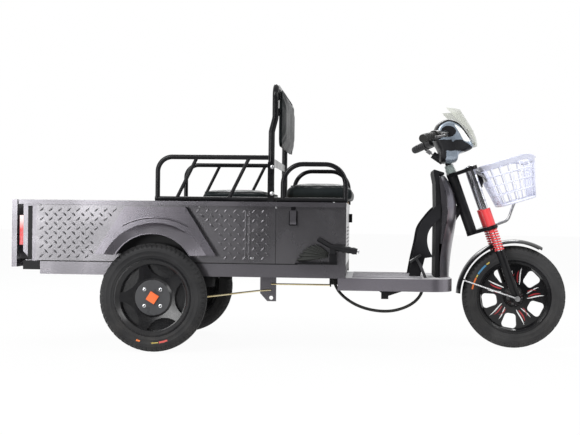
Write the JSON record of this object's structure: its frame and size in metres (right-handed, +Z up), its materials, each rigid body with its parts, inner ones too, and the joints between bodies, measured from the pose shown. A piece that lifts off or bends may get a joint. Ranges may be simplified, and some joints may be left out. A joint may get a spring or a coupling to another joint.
{
  "type": "cargo tricycle",
  "caption": "Electric cargo tricycle with a sheet-metal cargo box, drop tailgate, hand rails, driver's seat with backrest, raked front fork, swept handlebar and front basket.",
  "frame": {"origin": "on the ground, midway between the tailgate and the front of the front tyre, in the centre plane", "axes": "+X towards the front wheel, +Y to the rider's left, +Z up"},
  "size_m": [2.2365, 0.804, 1.0624],
  "materials": {
    "body_paint": "satin metallic",
    "checker_paint": "embossed metallic",
    "black_paint": "gloss",
    "frame_black": "satin",
    "zinc": "satin",
    "steel": "satin",
    "chrome": "polished",
    "red_cover": "gloss",
    "red_spring": "gloss",
    "lamp_red": "gloss",
    "vinyl": "gloss",
    "tyre": "matte",
    "rim_black": "gloss",
    "rubber": "matte",
    "black_plastic": "satin",
    "floor_grey": "satin",
    "cowl_paint": "metallic",
    "basket_plastic": "translucent",
    "lens": "clear",
    "screen": "tinted",
    "cast": "satin",
    "wood": "board"
  },
  "bodies": {
    "chassis": {"chassis_frame": "frame_black", "bed_floor": "checker_paint", "side_panel_right": "checker_paint", "side_panel_left": "checker_paint", "bed_rim": "body_paint", "tail_lamps": "lamp_red", "wheel_arch_right": "body_paint", "wheel_arch_left": "body_paint", "compartment_panels": "body_paint", "power_pack": "black_plastic", "side_rail_right": "black_paint", "side_rail_left": "black_paint", "backrest_frame": "black_paint", "backrest_pad": "vinyl", "floor_pan": "floor_grey", "leg_shield": "body_paint", "inner_panel": "black_plastic", "neck_frame": "frame_black", "underbody_brackets": "frame_black", "leaf_springs": "frame_black", "box_fittings": "black_paint", "brake_boot": "rubber", "brake_rods": "zinc", "wiring_hose": "rubber"},
    "tailgate": {"tailgate": "body_paint"},
    "seat": {"seat_lid": "wood", "seat_cushion": "vinyl"},
    "bench": {"bench_cushion": "vinyl"},
    "parking_lever": {"parking_lever": "black_plastic"},
    "release_button": {"release_button": "steel"},
    "brake_pedal": {"brake_pedal": "steel"},
    "latch_lever": {"latch_lever": "steel"},
    "rear_axle": {"drive_axle": "frame_black", "axle_fittings": "frame_black"},
    "rear_wheel_right": {"rear_tyre_right": "tyre", "rear_wheel_right": "rim_black"},
    "rear_wheel_left": {"rear_tyre_left": "tyre", "rear_wheel_left": "rim_black"},
    "steering": {"steering_stem": "black_paint", "stanchions": "chrome", "spring_covers": "red_cover", "fork_springs": "red_spring", "handlebar": "black_paint", "cowl": "cowl_paint", "headlamp_lens": "lens", "windscreen": "screen", "controls": "black_plastic", "bellows": "rubber", "basket": "basket_plastic", "basket_stay": "steel", "horn": "black_plastic"},
    "fork_lower": {"lower_legs": "black_paint", "front_fender": "black_plastic", "front_axle": "steel"},
    "front_wheel": {"front_wheel": "rim_black", "front_tyre": "tyre"},
    "throttle": {"throttle_grip": "rubber"},
    "brake_lever_right": {"brake_lever_right": "cast"},
    "brake_lever_left": {"brake_lever_left": "cast"},
    "key": {"key": "steel"}
  },
  "joints": [
    {"name": "tailgate_hinge", "type": "hinge", "parent": "chassis", "child": "tailgate", "pos_m": [-1.09025, 0, 0.332], "axis": [0, -1, 0], "range_deg": [0, 90]},
    {"name": "seat_lid_hinge", "type": "hinge", "parent": "chassis", "child": "seat", "pos_m": [0.20845, 0, 0.5973], "axis": [0, 1, 0], "range_deg": [0, 70]},
    {"name": "bench_hinge", "type": "hinge", "parent": "chassis", "child": "bench", "pos_m": [-0.07675, 0, 0.5973], "axis": [0, 1, 0], "range_deg": [0, 60]},
    {"name": "parking_lever_pivot", "type": "hinge", "parent": "chassis", "child": "parking_lever", "pos_m": [0.16575, -0.345, 0.381], "axis": [0, -1, 0], "range_deg": [0, 30], "deforming": ["brake_boot"]},
    {"name": "release_button_slide", "type": "slide", "parent": "parking_lever", "child": "release_button", "axis": [-0.9851, 0, 0.1721], "range_m": [0, 0.005], "stiffness_N_per_m": 200, "springref_m": -0.002},
    {"name": "brake_pedal_pivot", "type": "hinge", "parent": "chassis", "child": "brake_pedal", "pos_m": [0.54075, -0.156, 0.262], "axis": [0, 1, 0], "range_deg": [0, 18], "stiffness_Nm_per_rad": 8, "springref_deg": -5.73},
    {"name": "latch_lever_pivot", "type": "hinge", "parent": "chassis", "child": "latch_lever", "pos_m": [0.00725, -0.331, 0.508], "axis": [1, 0, 0], "range_deg": [0, 100]},
    {"name": "rear_suspension", "type": "slide", "parent": "chassis", "child": "rear_axle", "axis": [0, 0, 1], "range_m": [0, 0.022], "stiffness_N_per_m": 40000, "springref_m": -0.03, "deforming": ["leaf_springs"]},
    {"name": "rear_wheel_right_spin", "type": "hinge", "parent": "rear_axle", "child": "rear_wheel_right", "pos_m": [-0.53425, -0.365, 0.2125], "axis": [0, 1, 0], "continuous": true},
    {"name": "rear_wheel_left_spin", "type": "hinge", "parent": "rear_axle", "child": "rear_wheel_left", "pos_m": [-0.53425, 0.365, 0.2125], "axis": [0, 1, 0], "continuous": true},
    {"name": "steering_hinge", "type": "hinge", "parent": "chassis", "child": "steering", "pos_m": [0.69057, 0, 0.59247], "axis": [-0.3338, 0, 0.9426], "range_deg": [-40, 40]},
    {"name": "fork_slide", "type": "slide", "parent": "steering", "child": "fork_lower", "axis": [-0.3338, 0, 0.9426], "range_m": [0, 0.045], "stiffness_N_per_m": 9000, "springref_m": -0.05, "deforming": ["fork_springs"]},
    {"name": "front_wheel_spin", "type": "hinge", "parent": "fork_lower", "child": "front_wheel", "pos_m": [0.90575, 0, 0.2125], "axis": [0, 1, 0], "continuous": true},
    {"name": "throttle_twist", "type": "hinge", "parent": "steering", "child": "throttle", "pos_m": [0.53462, -0.27402, 0.8532], "axis": [-0.427, -0.8896, -0.1621], "range_deg": [0, 60], "stiffness_Nm_per_rad": 0.5, "springref_deg": -5.73},
    {"name": "brake_lever_right_pivot", "type": "hinge", "parent": "steering", "child": "brake_lever_right", "pos_m": [0.60038, -0.22021, 0.86584], "axis": [0.0701, 0.1461, -0.9868], "range_deg": [0, 9], "stiffness_Nm_per_rad": 3, "springref_deg": -4.58},
    {"name": "brake_lever_left_pivot", "type": "hinge", "parent": "steering", "child": "brake_lever_left", "pos_m": [0.60038, 0.22021, 0.86584], "axis": [-0.0701, 0.1461, 0.9868], "range_deg": [0, 9], "stiffness_Nm_per_rad": 3, "springref_deg": -4.58},
    {"name": "key_turn", "type": "hinge", "parent": "steering", "child": "key", "pos_m": [0.56564, 0, 0.80108], "axis": [-0.829, 0, 0.5592], "range_deg": [0, 90]}
  ]
}
